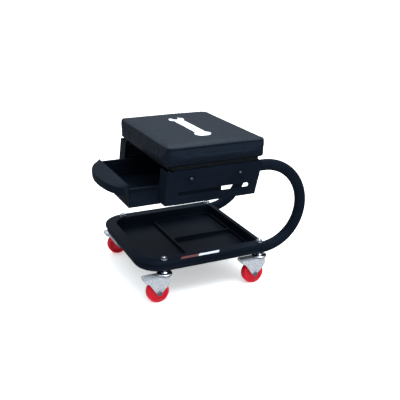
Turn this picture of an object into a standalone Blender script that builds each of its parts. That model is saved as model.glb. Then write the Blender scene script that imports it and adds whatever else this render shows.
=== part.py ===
"""A rolling mechanic's creeper seat.

One bent tube makes the base and, by two big return bends, carries the seat. Under the tube hang four
swivel casters, on it lies a sheet-steel tool tray with three wells, and between the side panels under
the seat a drawer slides out towards -X. Metres, +Z up, origin on the floor under the middle of the
whole; "near" is the side at -Y, "far" the side at +Y, "left" is at -X and "right" at +X.

The pieces are laid out about the middle of the four caster stems; the empty creeper_seat then shifts
them all so that the middle of the bounding box, with the drawer pulled out as here, is at x = 0."""

import math

import bmesh
import bpy
from mathutils import Matrix, Vector

# ---- driving dimensions -------------------------------------------------------------------------
STEM_X = 0.1465             # caster stems at x = +-STEM_X, y = +-RAIL_Y
RAIL_Y = 0.180              # centre lines of the two rails

TUBE_R = 0.015875           # 1-1/4 in tube
TUBE_WALL = 0.002
RAIL_Z = 0.1032             # centre line of the base
BEND_X = 0.1523             # centre of the return bends
BEND_R = 0.1239
UPPER_Z = RAIL_Z + 2 * BEND_R
UPPER_END = -0.126          # open ends of the upper runs, under the seat
END_RAIL_X = -0.198         # centre line of the base's left end
CORNER_R = 0.060

WHEEL_R = 0.03175           # 2-1/2 in wheel
WHEEL_HALF = 0.0118         # half the tread's width
TRAIL = 0.022               # the axle lies this far behind the stem
AXLE_R = 0.0039
SLEEVE_R = 0.006
STEM_R = 0.0049
STEM_HOLE_R = 0.0053
STEM_NUT = 0.0045           # height of the thin nut on the stem
STEM_TOP = 0.1295
FORK_TOP = 0.0760           # upper face of the fork's crown
FORK_SHEET = 0.0024
FORK_HALF = 0.017
RACE_TOP = 0.0781
CUP_LOW = 0.0784

GAP = 0.0003                # between pieces that touch
SHEET = 0.0016              # panels, runners and the drawer's front
HOLE_R = 0.0034             # clearance holes for the 6 mm bolts
BOLT_R = 0.0030
NUT_10 = 0.0050             # half the width across flats of a nut or a bolt head

TRAY_LOW = 0.0865           # underside of the wells
TRAY_SHEET = 0.0014
FLANGE_LOW = 0.1198
FLANGE_TOP = 0.1213
FLANGE_OUT = 0.0195         # the flange's reach past the rail's centre line
FLANGE_SKIRT = 0.1125       # lower edge of its turned-down rim
TRAY_RIGHT = 0.158
RIDGE_TOP = 0.098
RIDGE_HALF = 0.0055
RIDGE_X = -0.052            # ridge between the left well and the two right ones

BOARD = ((-0.129, 0.136), (-0.186, 0.186), (0.3692, 0.3780))
SEAT_BOLT_X = 0.100
CUSHION_MID = 0.005
CUSHION_TOP = 0.4350
CUSHION_HALF = (0.144, 0.1944)
CUSHION_FOOT = (0.138, 0.1900)

PANEL_Y = 0.200             # outer faces of the side panels
PANEL_LOW = 0.279
PANEL_TOP = 0.3688
PANEL_REAR = 0.1155
PANEL_LEAN = 0.0228          # the rear edge's head stands this much further out than its foot
PANEL_FRONT = -0.138
PANEL_FLARE = 0.011         # the front edge's foot stands this much further out than its head
RETURN_Y = 0.1455           # inner edge of the panel's turned-in front
SIDE_BOLTS = (-0.073, 0.070)
SIDE_BOLT_Z = 0.343
SLOT = ((-0.112, 0.0945), (0.3029, 0.3136))
SLOT_R = 0.0053

DRAWER_FRONT = -0.226       # with the drawer pulled out by DRAWER_OUT
DRAWER_OUT = 0.086
DRAWER_BACK = 0.046
DRAWER_HALF = 0.137
DRAWER_LOW = 0.265
DRAWER_RIM = 0.320
DRAWER_SHEET = 0.0014
RIM_REACH = 0.007
FRONT_TOP = 0.329
PULL_OUT = 0.049            # the pull's lip stands this far out from the drawer's front
PULL_HALF = 0.134
LIP_TOP = 0.3205            # the lip hangs down between these heights
LIP_LOW = 0.3005

WEB_Y = RAIL_Y - TUBE_R - 0.0004    # outer face of the runners' webs, beside the tube
RUNNER = (-0.131, DRAWER_BACK + DRAWER_OUT + 0.002)
RUNNER_LIP_Z = 0.3156       # underside of the lip that carries the drawer's rim
RUNNER_LIP_Y = 0.1396       # that lip's inner edge
RUNNER_COVER = (0.3236, 0.3250)     # the lip above the rim
RUNNER_COVER_Y = 0.144
RUNNER_TOP = 0.353
STOP_X = (-0.066, -0.060)
STOP_TOP = 0.3233

MID_X = -(DRAWER_FRONT - PULL_OUT + BEND_X + BEND_R + TUBE_R) / 2

FINISHES = {   # colour, roughness, metallic
    "black_powder_coat": ((0.012, 0.013, 0.016), 0.35, 0.0),
    "seat_vinyl": ((0.016, 0.019, 0.025), 0.45, 0.0),
    "seat_board": ((0.050, 0.040, 0.030), 0.70, 0.0),
    "wheel_red": ((0.720, 0.008, 0.035), 0.28, 0.0),
    "caster_zinc": ((0.800, 0.810, 0.820), 0.22, 1.0),
    "race_chrome": ((0.830, 0.840, 0.850), 0.12, 1.0),
    "fastener_zinc": ((0.720, 0.730, 0.740), 0.30, 1.0),
    "runner_steel": ((0.016, 0.017, 0.020), 0.45, 0.0),
    "stop_rubber": ((0.020, 0.020, 0.020), 0.80, 0.0),
    "plug_plastic": ((0.020, 0.020, 0.022), 0.60, 0.0),
}

# ---- scene ----------------------------------------------------------------------------------------
for old in list(bpy.data.objects):
    bpy.data.objects.remove(old, do_unlink=True)

PIECES = bpy.data.collections.new("mechanics_creeper")
HELPERS = bpy.data.collections.new("helpers")
bpy.context.scene.collection.children.link(PIECES)
bpy.context.scene.collection.children.link(HELPERS)


def empty(name, location, parent=None):
    """A guide that stands on a body's reference point or joint axis."""
    guide = bpy.data.objects.new(name, None)
    guide.location = location
    guide.parent = parent
    HELPERS.objects.link(guide)
    return guide


def finish(name):
    if name in bpy.data.materials:
        return bpy.data.materials[name]
    colour, roughness, metallic = FINISHES[name]
    made = bpy.data.materials.new(name)
    made.use_nodes = True
    shader = made.node_tree.nodes["Principled BSDF"]
    shader.inputs["Base Color"].default_value = (*colour, 1.0)
    shader.inputs["Roughness"].default_value = roughness
    shader.inputs["Metallic"].default_value = metallic
    return made


def place(name, mesh, material, parent, location=(0, 0, 0)):
    """A named piece of the creeper; copies of a repeated piece share one mesh."""
    if not mesh.materials:
        mesh.name = name
        mesh.materials.append(finish(material))
        mesh.shade_smooth()
        mesh.set_sharp_from_angle(angle=math.radians(35))
    piece = bpy.data.objects.new(name, mesh)
    piece.location = location
    piece.parent = parent
    PIECES.objects.link(piece)
    return piece


# ---- shapes: each returns a helper object, which solid() turns into a mesh ---------------------------
def helper(data):
    shape = bpy.data.objects.new("helper", data)
    HELPERS.objects.link(shape)
    return shape


def from_bmesh(bm):
    mesh = bpy.data.meshes.new("helper")
    bm.to_mesh(mesh)
    bm.free()
    return helper(mesh)


def block(x, y, z):
    """A box between the (low, high) pairs of each axis."""
    bm = bmesh.new()
    bmesh.ops.create_cube(bm, size=1)
    bmesh.ops.scale(bm, vec=(x[1] - x[0], y[1] - y[0], z[1] - z[0]), verts=bm.verts)
    bmesh.ops.translate(bm, vec=((x[0] + x[1]) / 2, (y[0] + y[1]) / 2, (z[0] + z[1]) / 2), verts=bm.verts)
    return from_bmesh(bm)


def rod(radius, start, end, sides=12):
    """A cylinder, or with six sides a hexagonal bar, from point to point."""
    start, end = Vector(start), Vector(end)
    along = end - start
    turn = along.to_track_quat("Z", "Y").to_matrix().to_4x4()
    bm = bmesh.new()
    bmesh.ops.create_cone(bm, segments=sides, radius1=radius, radius2=radius, depth=along.length,
                          cap_ends=True, matrix=Matrix.Translation((start + end) / 2) @ turn)
    return from_bmesh(bm)


def hexagon(half_flats, start, end):
    return rod(half_flats / math.cos(math.pi / 6), start, end, 6)


def turned(profile, steps, closed=False):
    """Turned about +Z: the profile's (radius, height) points run down its outer side."""
    bm = bmesh.new()
    points = [bm.verts.new((radius, 0, height)) for radius, height in profile]
    for a, b in zip(points, points[1:] + points[:1] if closed else points[1:]):
        bm.edges.new((a, b))
    shape = from_bmesh(bm)
    screw = shape.modifiers.new("Screw", "SCREW")
    screw.steps = screw.render_steps = steps
    screw.use_merge_vertices = True
    screw.merge_threshold = 0.00001
    return shape


def outline_plate(outlines, low, high, up="z"):
    """A plate from low to high along an axis; outlines after the first are holes.
    Points are (x, y) for z, (x, z) for y and (y, z) for x."""
    curve = bpy.data.curves.new("helper", "CURVE")
    curve.dimensions = "2D"
    curve.fill_mode = "BOTH"
    curve.extrude = (high - low) / 2
    for outline in outlines:
        spline = curve.splines.new("POLY")
        spline.points.add(len(outline) - 1)
        for point, (u, v) in zip(spline.points, outline):
            point.co = (u, v, 0, 1)
        spline.use_cyclic_u = True
    shape = helper(curve)
    middle = (low + high) / 2
    shape.matrix_world = {
        "z": Matrix.Translation((0, 0, middle)),
        "y": Matrix.Translation((0, middle, 0)) @ Matrix.Rotation(math.radians(90), 4, "X"),
        "x": Matrix.Translation((middle, 0, 0)) @ Matrix(((0, 0, 1), (1, 0, 0), (0, 1, 0))).to_4x4(),
    }[up]
    return shape


def tube(points, radius, sides):
    curve = bpy.data.curves.new("helper", "CURVE")
    curve.dimensions = "3D"
    curve.bevel_depth = radius
    curve.bevel_resolution = sides // 2 - 2
    curve.use_fill_caps = True
    spline = curve.splines.new("POLY")
    spline.points.add(len(points) - 1)
    for point, place_at in zip(spline.points, points):
        point.co = (*place_at, 1)
    return helper(curve)


def surface(rows, thickness):
    """Open sheet through rows of points, thickened to the side away from its normals."""
    bm = bmesh.new()
    grid = [[bm.verts.new(point) for point in row] for row in rows]
    for row, beyond in zip(grid, grid[1:]):
        for i in range(len(row) - 1):
            bm.faces.new((row[i], row[i + 1], beyond[i + 1], beyond[i]))
    shape = from_bmesh(bm)
    shell = shape.modifiers.new("Solidify", "SOLIDIFY")
    shell.thickness = thickness
    shell.offset = -1
    shell.use_even_offset = True
    return shape


def drafted(low_outline, low, high_outline, high):
    """A closed body between two unlike outlines with as many points each."""
    bm = bmesh.new()
    foot = [bm.verts.new((x, y, low)) for x, y in low_outline]
    head = [bm.verts.new((x, y, high)) for x, y in high_outline]
    bm.faces.new(foot[::-1])
    bm.faces.new(head)
    for i in range(len(foot)):
        j = (i + 1) % len(foot)
        bm.faces.new((foot[i], foot[j], head[j], head[i]))
    return from_bmesh(bm)


def solid(shape, joins=(), cuts=()):
    """The shape's mesh with its modifiers and these Booleans applied; the helpers are removed."""
    shape = as_mesh(shape)
    for operation, others in (("UNION", joins), ("DIFFERENCE", cuts)):
        for other in others:
            boolean = shape.modifiers.new("Boolean", "BOOLEAN")
            boolean.operation = operation
            boolean.solver = "EXACT"
            boolean.object = as_mesh(other)
    mesh = as_mesh(shape).data
    bm = bmesh.new()
    bm.from_mesh(mesh)
    bmesh.ops.dissolve_limit(bm, angle_limit=math.radians(0.3), verts=bm.verts, edges=bm.edges)
    bmesh.ops.triangulate(bm, faces=bm.faces)
    bm.to_mesh(mesh)
    bm.free()
    for spare in list(HELPERS.objects):
        if spare.type != "EMPTY":
            bpy.data.objects.remove(spare, do_unlink=True)
    return mesh


def as_mesh(shape):
    """The same shape as a plain mesh object in world coordinates, its doubled points merged."""
    bpy.context.view_layer.update()
    graph = bpy.context.evaluated_depsgraph_get()
    mesh = bpy.data.meshes.new_from_object(shape.evaluated_get(graph))
    mesh.transform(shape.matrix_world)
    mesh.materials.clear()
    bm = bmesh.new()
    bm.from_mesh(mesh)
    bmesh.ops.remove_doubles(bm, verts=bm.verts, dist=0.000002)
    bmesh.ops.recalc_face_normals(bm, faces=bm.faces)
    bm.to_mesh(mesh)
    bm.free()
    return helper(mesh)


def mirrored(mesh):
    """The far side's twin of a near piece."""
    twin = mesh.copy()
    twin.transform(Matrix.Scale(-1, 4, (0, 1, 0)))
    twin.flip_normals()
    twin.materials.clear()
    return twin


def arc(centre_u, centre_v, radius, start, end, steps):
    """Points on an arc, its angles in degrees."""
    turn = [math.radians(start + (end - start) * i / steps) for i in range(steps + 1)]
    return [(centre_u + radius * math.cos(a), centre_v + radius * math.sin(a)) for a in turn]


def rounded(x, y, radii, steps=4):
    """Rectangle outline with its own radius at each corner, from the low-low one, anticlockwise."""
    r0, r1, r2, r3 = radii
    return (arc(x[0] + r0, y[0] + r0, r0, 180, 270, steps) + arc(x[1] - r1, y[0] + r1, r1, 270, 360, steps)
            + arc(x[1] - r2, y[1] - r2, r2, 0, 90, steps) + arc(x[0] + r3, y[1] - r3, r3, 90, 180, steps))


# ---- frame ------------------------------------------------------------------------------------------
def tube_route():
    """Centre line: near upper run, return bend, base with its two corners, and the same on the far side."""
    bend = arc(BEND_X, RAIL_Z + BEND_R, BEND_R, 90, -90, 14)
    corner = arc(END_RAIL_X + CORNER_R, -RAIL_Y + CORNER_R, CORNER_R, 270, 180, 6)
    near = [(UPPER_END, -RAIL_Y, UPPER_Z)] + [(x, -RAIL_Y, z) for x, z in bend]
    near += [(x, y, RAIL_Z) for x, y in corner]
    return near + [(x, -y, z) for x, y, z in reversed(near)]


def frame_tube():
    route = tube_route()
    beyond = Vector((-0.002, 0, 0))
    bore = [Vector(route[0]) + beyond] + route[1:-1] + [Vector(route[-1]) + beyond]
    holes = [tube(bore, TUBE_R - TUBE_WALL, 16)]
    for y in (-RAIL_Y, RAIL_Y):
        inner, outer = sorted((y - 0.02, y + 0.02))
        holes += [rod(STEM_HOLE_R, (x, y, 0.08), (x, y, 0.125)) for x in (-STEM_X, STEM_X)]
        holes += [rod(HOLE_R, (x, inner, SIDE_BOLT_Z), (x, outer, SIDE_BOLT_Z), 10) for x in SIDE_BOLTS]
        holes += [rod(HOLE_R, (x, y, 0.33), (x, y, 0.372), 10) for x in (-SEAT_BOLT_X, SEAT_BOLT_X)]
    return solid(tube(route, TUBE_R, 16), cuts=holes)


def tube_plug():
    """Cap for an open tube end, turned about +Z with its face up; the spigot fills the bore loosely."""
    head, spigot = TUBE_R - 0.0001, TUBE_R - TUBE_WALL - 0.0005
    return solid(turned([(0, 0.0033), (head - 0.0011, 0.0033), (head, 0.0022), (head, GAP), (spigot, GAP),
                         (spigot, -0.012), (0, -0.012)], 16))


# ---- tray -------------------------------------------------------------------------------------------
def tray_outline(reach, right, right_r):
    """Outline at a distance outside the base's centre line, squared off at its right end."""
    r = CORNER_R + reach
    return rounded((END_RAIL_X - reach, right), (-RAIL_Y - reach, RAIL_Y + reach),
                   (r, right_r, right_r, r), 7)


def well(x, y, radii):
    slope = 0.0016
    wide = rounded((x[0] - slope, x[1] + slope), (y[0] - slope, y[1] + slope), [r + slope for r in radii])
    return drafted(rounded(x, y, radii), TRAY_LOW + TRAY_SHEET, wide, RIDGE_TOP + 0.0005)


def ridge_groove(middle, low, high, along):
    """Cutter for the hollow under a ridge, so that it is a fold of the sheet."""
    foot, head = RIDGE_HALF - TRAY_SHEET, RIDGE_HALF - 0.0031
    section = [(middle - foot, TRAY_LOW - 0.002), (middle + foot, TRAY_LOW - 0.002),
               (middle + head, RIDGE_TOP - TRAY_SHEET), (middle - head, RIDGE_TOP - TRAY_SHEET)]
    return outline_plate([section], low, high, along)


def tray():
    flange = outline_plate([tray_outline(FLANGE_OUT, TRAY_RIGHT, 0.006)], FLANGE_SKIRT, FLANGE_TOP)
    under = tray_outline(FLANGE_OUT - SHEET, TRAY_RIGHT + 0.004, 0.0005)
    lid = helper(solid(flange, cuts=[outline_plate([under], 0.100, FLANGE_LOW)]))
    foot, head = -0.0196, -0.0136
    pan = drafted(tray_outline(foot, 0.140, 0.012), TRAY_LOW,
                  tray_outline(head, 0.147, 0.012), FLANGE_LOW + 0.0004)
    mouth = drafted(tray_outline(foot - 0.0011, 0.1386, 0.011), RIDGE_TOP,
                    tray_outline(head - 0.0013, 0.1456, 0.011), FLANGE_TOP + 0.0015)
    left, right = (-0.1755, RIDGE_X - RIDGE_HALF), (RIDGE_X + RIDGE_HALF, 0.1365)
    wells = [well(left, (-0.1575, 0.1575), (0.039, 0.008, 0.008, 0.039)),
             well(right, (-0.1575, -RIDGE_HALF), (0.008, 0.011, 0.008, 0.008)),
             well(right, (RIDGE_HALF, 0.1575), (0.008, 0.008, 0.011, 0.008))]
    grooves = [ridge_groove(RIDGE_X, -0.152, 0.152, "y"), ridge_groove(0.0, RIDGE_X, 0.132, "x")]
    holes = [rod(STEM_HOLE_R, (x, y, 0.10), (x, y, 0.13)) for x in (-STEM_X, STEM_X)
             for y in (-RAIL_Y, RAIL_Y)]
    return solid(lid, joins=[pan], cuts=[mouth] + wells + grooves + holes)


# ---- seat -------------------------------------------------------------------------------------------
def seat_board():
    x, y, z = BOARD
    blind = [rod(HOLE_R, (bolt_x, bolt_y, z[0] - 0.001), (bolt_x, bolt_y, z[0] + 0.0075))
             for bolt_x in (-SEAT_BOLT_X, SEAT_BOLT_X) for bolt_y in (-RAIL_Y, RAIL_Y)]
    return solid(outline_plate([rounded(x, y, (0.012,) * 4)], *z), cuts=blind)


def seat_cushion():
    """Plain pad: wider at its top than at its foot, with rounded edges and a flat top."""
    low = BOARD[2][1] + GAP
    pad = block((-CUSHION_HALF[0], CUSHION_HALF[0]), (-CUSHION_HALF[1], CUSHION_HALF[1]), (low, CUSHION_TOP))
    for vertex in pad.data.vertices:
        if vertex.co.z < (low + CUSHION_TOP) / 2:
            vertex.co.x *= CUSHION_FOOT[0] / CUSHION_HALF[0]
            vertex.co.y *= CUSHION_FOOT[1] / CUSHION_HALF[1]
    soften = pad.modifiers.new("Bevel", "BEVEL")
    soften.width = 0.014
    soften.segments = 3
    return solid(pad)


def seat_bolt():
    """Hexagon head under the tube, shank up through tube, panel and board; origin under the head's seat."""
    shank = rod(BOLT_R, (0, 0, -0.001), (0, 0, BOARD[2][0] + 0.007 - (UPPER_Z - TUBE_R - GAP)))
    return solid(hexagon(0.0055, (0, 0, -0.0042), (0, 0, 0)), joins=[shank])


# ---- side panels, runners and their bolts -------------------------------------------------------------
def side_panel():
    """Near panel: folded sheet whose front edge turns in, flared at the foot, with a flange on the tube."""
    rows = []
    for z in (PANEL_LOW, PANEL_TOP):
        height = (z - PANEL_LOW) / (PANEL_TOP - PANEL_LOW)
        front = PANEL_FRONT - PANEL_FLARE * (1 - height)
        rear = PANEL_REAR + PANEL_LEAN * height
        rows.append([(front, -RETURN_Y, z), (front, -PANEL_Y + 0.0035, z), (-0.130, -PANEL_Y + 0.0006, z),
                     (-0.121, -PANEL_Y, z), (rear, -PANEL_Y, z), (rear, -PANEL_Y + 0.0034, z)])
    sheet = surface(rows, SHEET)
    ledge = rounded((-0.1185, PANEL_REAR + PANEL_LEAN - 0.0012), (-PANEL_Y + 0.0004, -0.166),
                    (0.0005, 0.0005, 0.006, 0.006), 2)
    flange = outline_plate([ledge], PANEL_TOP - SHEET, PANEL_TOP - 0.0001)
    slot = outline_plate([rounded(*SLOT, (SLOT_R,) * 4)], -0.21, -0.19, "y")
    holes = [rod(HOLE_R, (x, -0.21, SIDE_BOLT_Z), (x, -0.19, SIDE_BOLT_Z)) for x in SIDE_BOLTS]
    holes += [rod(HOLE_R, (x, -RAIL_Y, 0.36), (x, -RAIL_Y, 0.375)) for x in (-SEAT_BOLT_X, SEAT_BOLT_X)]
    return solid(sheet, joins=[flange], cuts=[slot] + holes)


def drawer_runner():
    """Near runner: a web bolted to the tube's inner side, and a channel that takes the drawer's rim."""
    web = -WEB_Y
    inset = web + 0.0005
    rows = [[(x, -RUNNER_LIP_Y, RUNNER_LIP_Z), (x, web, RUNNER_LIP_Z), (x, web, RUNNER_TOP)]
            for x in reversed(RUNNER)]
    cover = block(RUNNER, (inset, -RUNNER_COVER_Y), RUNNER_COVER)
    end_stop = block((RUNNER[1] - SHEET, RUNNER[1]), (inset, -RUNNER_LIP_Y - 0.0004),
                     (RUNNER_LIP_Z + 0.0004, RUNNER_COVER[1] - 0.0005))
    holes = [rod(HOLE_R, (x, -0.17, SIDE_BOLT_Z), (x, -0.155, SIDE_BOLT_Z)) for x in SIDE_BOLTS]
    return solid(surface(rows, SHEET), joins=[cover, end_stop], cuts=holes)


def drawer_stop():
    """Rubber block in the near runner's channel; its nose overhangs the rim and catches the drawer's tab."""
    nose = block(STOP_X, (-0.150, -0.1402), (DRAWER_RIM + 0.0012, STOP_TOP))
    return solid(block(STOP_X, (-0.161, -0.146), (RUNNER_LIP_Z + SHEET + GAP, STOP_TOP)), joins=[nose])


def panel_bolt():
    """Pan-head bolt along +Z, origin at the head's seat: through panel, tube and runner."""
    end = -(PANEL_Y + GAP - 0.154)
    return solid(turned([(0, 0.0040), (0.0026, 0.0038), (0.0052, 0.0028), (0.0066, 0.0012), (0.0066, 0),
                         (BOLT_R, 0), (BOLT_R, end), (0, end)], 16))


def nut(half_flats, height, bore):
    return solid(hexagon(half_flats, (0, 0, 0), (0, 0, height)),
                 cuts=[rod(bore, (0, 0, -0.01), (0, 0, height + 0.01))])


# ---- drawer -----------------------------------------------------------------------------------------
def drawer_box():
    front = DRAWER_FRONT + SHEET + GAP
    length, width = (front, DRAWER_BACK), (-DRAWER_HALF, DRAWER_HALF)
    body = outline_plate([rounded(length, width, (0.0015, 0.004, 0.004, 0.0015), 2)], DRAWER_LOW, DRAWER_RIM)
    reach = DRAWER_HALF + RIM_REACH
    rim = outline_plate([rounded(length, (-reach, reach), (0.003,) * 4, 2)],
                        DRAWER_RIM - DRAWER_SHEET, DRAWER_RIM)
    tabs = [block((DRAWER_BACK - 0.006, DRAWER_BACK - 0.001), sorted((side * 0.139, side * 0.1435)),
                  (DRAWER_RIM - 0.0005, DRAWER_RIM + 0.0028)) for side in (-1, 1)]
    inside_x = (length[0] + DRAWER_SHEET, length[1] - DRAWER_SHEET)
    inside_y = (width[0] + DRAWER_SHEET, width[1] - DRAWER_SHEET)
    inside = outline_plate([rounded(inside_x, inside_y, (0.0015, 0.003, 0.003, 0.0015), 2)],
                           DRAWER_LOW + DRAWER_SHEET, DRAWER_RIM + 0.002)
    return solid(body, joins=[rim] + tabs, cuts=[inside])


def pull_section(y):
    """The pull's outer line in the xz plane: out from the front's top edge, a little down, then a hanging lip."""
    bow = (1 - (y / 0.1375) ** 2) ** 0.6
    lip = DRAWER_FRONT - 0.0025 - (PULL_OUT - 0.0025) * bow
    line = [(DRAWER_FRONT + 0.0006, FRONT_TOP - 0.0001),
            (DRAWER_FRONT - 0.003 * bow - 0.0008, FRONT_TOP - 0.0009),
            (lip + 0.0030 * bow, LIP_TOP + 0.0006), (lip, LIP_TOP - 0.0025), (lip + 0.0010 * bow, LIP_LOW)]
    return [(x, y, z) for x, z in line]


def drawer_front():
    plate = block((DRAWER_FRONT, DRAWER_FRONT + SHEET), (-DRAWER_HALF, DRAWER_HALF),
                  (DRAWER_LOW - 0.0005, FRONT_TOP))
    stations = [PULL_HALF * math.sin(math.radians(10 * i)) for i in range(9, -10, -1)]
    return solid(plate, joins=[surface([pull_section(y) for y in stations], SHEET)])


# ---- casters: stem on the z axis, axle TRAIL behind it ----------------------------------------------------
def caster_stem():
    """Threaded stem with the fixed race cup; the rivet head under the fork keeps the two together."""
    stem = [(0, STEM_TOP), (STEM_R, STEM_TOP), (STEM_R, 0.0870)]
    cup = [(0.011, 0.0870), (0.011, 0.0844), (0.019, 0.0836), (0.022, 0.0810), (0.022, 0.0792),
           (0.021, CUP_LOW)]
    rivet = [(STEM_R, CUP_LOW), (STEM_R, 0.0710), (0.0085, 0.0710), (0.0085, 0.0682), (0, 0.0682)]
    return solid(turned(stem + cup + rivet, 16))


def caster_fork():
    """Pressed fork: crown with its race ring, two V-shaped legs and a turned-down rear edge."""
    rear, crown_low = -0.061, FORK_TOP - FORK_SHEET
    crown = [(rear, -0.014), (rear + 0.003, -FORK_HALF), (0.002, -FORK_HALF)]
    crown += arc(0.0005, 0, FORK_HALF, -65, 65, 6)
    crown += [(0.002, FORK_HALF), (rear + 0.003, FORK_HALF), (rear, 0.014)]
    leg = [(rear, 0.0745), (rear, 0.069), (-0.048, 0.060)] + arc(-TRAIL, WHEEL_R, 0.0069, 205, 335, 5)
    leg += [(0.0055, 0.050), (0.012, 0.062), (0.011, 0.0745)]
    joins = [rod(0.0195, (0, 0, FORK_TOP - 0.001), (0, 0, RACE_TOP), 24),
             block((rear, rear + 0.0022), (-0.016, 0.016), (0.0675, 0.0745))]
    for side in (-1, 1):
        joins.append(outline_plate([leg], *sorted((side * (FORK_HALF - FORK_SHEET), side * FORK_HALF)), "y"))
    cuts = [rod(STEM_HOLE_R, (0, 0, 0.06), (0, 0, 0.09)),
            rod(AXLE_R + GAP, (-TRAIL, -0.02, WHEEL_R), (-TRAIL, 0.02, WHEEL_R))]
    return solid(outline_plate([crown], crown_low, FORK_TOP), joins=joins, cuts=cuts)


def axle_bolt():
    """Along +Y, its middle at the wheel's middle."""
    seat = -(FORK_HALF + GAP)
    shank = rod(AXLE_R, (0, seat - 0.001, 0), (0, 0.0236, 0))
    return solid(hexagon(0.0065, (0, seat - 0.005, 0), (0, seat, 0)), joins=[shank])


def bored_along_y(shape):
    """The shape with a clearance hole for the axle."""
    return solid(shape, cuts=[rod(AXLE_R + 0.00025, (0, -0.03, 0), (0, 0.03, 0))])


def wheel():
    """Moulded wheel with dished sides, turned about +Z and then laid on its axle."""
    half = [(0.0063, 0.0132), (0.0095, 0.0132), (0.0105, 0.0086), (0.0220, 0.0086), (0.0235, 0.0116),
            (0.0282, WHEEL_HALF), (WHEEL_R, 0.0065)]
    mesh = solid(turned(half + [(radius, -height) for radius, height in reversed(half)], 24, closed=True))
    mesh.transform(Matrix.Rotation(math.radians(-90), 4, "X"))
    return mesh


# ---- assembly -----------------------------------------------------------------------------------------
def build():
    root = empty("creeper_seat", (MID_X, 0, 0))
    place("frame_tube", frame_tube(), "black_powder_coat", root)
    place("tray", tray(), "black_powder_coat", root)
    place("seat_board", seat_board(), "seat_board", root)
    place("seat_cushion", seat_cushion(), "seat_vinyl", root, (CUSHION_MID, 0, 0))

    drawer = empty("drawer", (DRAWER_FRONT, 0, DRAWER_LOW), root)
    back = (-DRAWER_FRONT, 0, -DRAWER_LOW)
    place("drawer_box", drawer_box(), "black_powder_coat", drawer, back)
    place("drawer_front", drawer_front(), "black_powder_coat", drawer, back)

    near = {"side_panel": side_panel(), "drawer_runner": drawer_runner(), "drawer_stop": drawer_stop()}
    coats = {"side_panel": "black_powder_coat", "drawer_runner": "runner_steel", "drawer_stop": "stop_rubber"}
    plug, bolt, side_bolt = tube_plug(), seat_bolt(), panel_bolt()
    side_nut = nut(NUT_10, 0.005, BOLT_R + 0.0002)
    plug.transform(Matrix.Rotation(math.radians(-90), 4, "Y"))
    for side, word in ((-1, "near"), (1, "far")):
        for name, mesh in near.items():
            place(f"{name}_{word}", mesh if side < 0 else mirrored(mesh), coats[name], root)
        place(f"tube_plug_{word}", plug, "plug_plastic", root, (UPPER_END, side * RAIL_Y, UPPER_Z))
        outward = math.radians(-90 * side)
        for x, where in zip(SIDE_BOLTS, ("left", "right")):
            head = place(f"panel_bolt_{where}_{word}", side_bolt, "fastener_zinc", root,
                         (x, side * (PANEL_Y + GAP), SIDE_BOLT_Z))
            head.rotation_euler.x = outward
            held = place(f"panel_nut_{where}_{word}", side_nut, "fastener_zinc", root,
                         (x, side * (WEB_Y - SHEET - GAP - 0.005), SIDE_BOLT_Z))
            held.rotation_euler.x = outward
        for x, where in ((-SEAT_BOLT_X, "left"), (SEAT_BOLT_X, "right")):
            place(f"seat_bolt_{where}_{word}", bolt, "fastener_zinc", root,
                  (x, side * RAIL_Y, UPPER_Z - TUBE_R - GAP))

    stem, fork, roller, axle = caster_stem(), caster_fork(), wheel(), axle_bolt()
    washer = solid(rod(0.0095, (0, 0, 0), (0, 0, 0.0018), 20),
                   cuts=[rod(STEM_HOLE_R, (0, 0, -0.01), (0, 0, 0.01))])
    stem_nut = nut(0.0073, STEM_NUT, STEM_R + 0.0003)
    nut_in, nut_out = FORK_HALF + GAP, FORK_HALF + GAP + 0.0051
    sleeve_half = FORK_HALF - FORK_SHEET - GAP
    axle_nut = bored_along_y(hexagon(0.0065, (0, nut_in, 0), (0, nut_out, 0)))
    sleeve = bored_along_y(rod(SLEEVE_R, (0, -sleeve_half, 0), (0, sleeve_half, 0), 16))
    for x, where in ((-STEM_X, "left"), (STEM_X, "right")):
        for y, word in ((-RAIL_Y, "near"), (RAIL_Y, "far")):
            tag = f"{where}_{word}"
            place(f"caster_stem_{tag}", stem, "race_chrome", root, (x, y, 0))
            place(f"stem_washer_{tag}", washer, "fastener_zinc", root, (x, y, FLANGE_TOP + GAP))
            place(f"stem_nut_{tag}", stem_nut, "fastener_zinc", root, (x, y, FLANGE_TOP + 0.0024))
            swivel = empty(f"swivel_{tag}", (x, y, 0), root)
            place(f"caster_fork_{tag}", fork, "caster_zinc", swivel)
            on_axle = (-TRAIL, 0, WHEEL_R)
            place(f"axle_bolt_{tag}", axle, "fastener_zinc", swivel, on_axle)
            place(f"axle_nut_{tag}", axle_nut, "fastener_zinc", swivel, on_axle)
            place(f"axle_sleeve_{tag}", sleeve, "fastener_zinc", swivel, on_axle)
            spin = empty(f"spin_{tag}", on_axle, swivel)
            place(f"wheel_{tag}", roller, "wheel_red", spin)


build()
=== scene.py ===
"""Looks of the mechanic's creeper seat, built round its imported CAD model.

Sizes are in metres. Most shapes are given in the layout's frame, whose x = 0 is the middle of the four
caster stems; row_x() turns such an x into the row frame's."""

import math

import bmesh
import bpy
from mathutils import Matrix, Vector, noise

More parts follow.
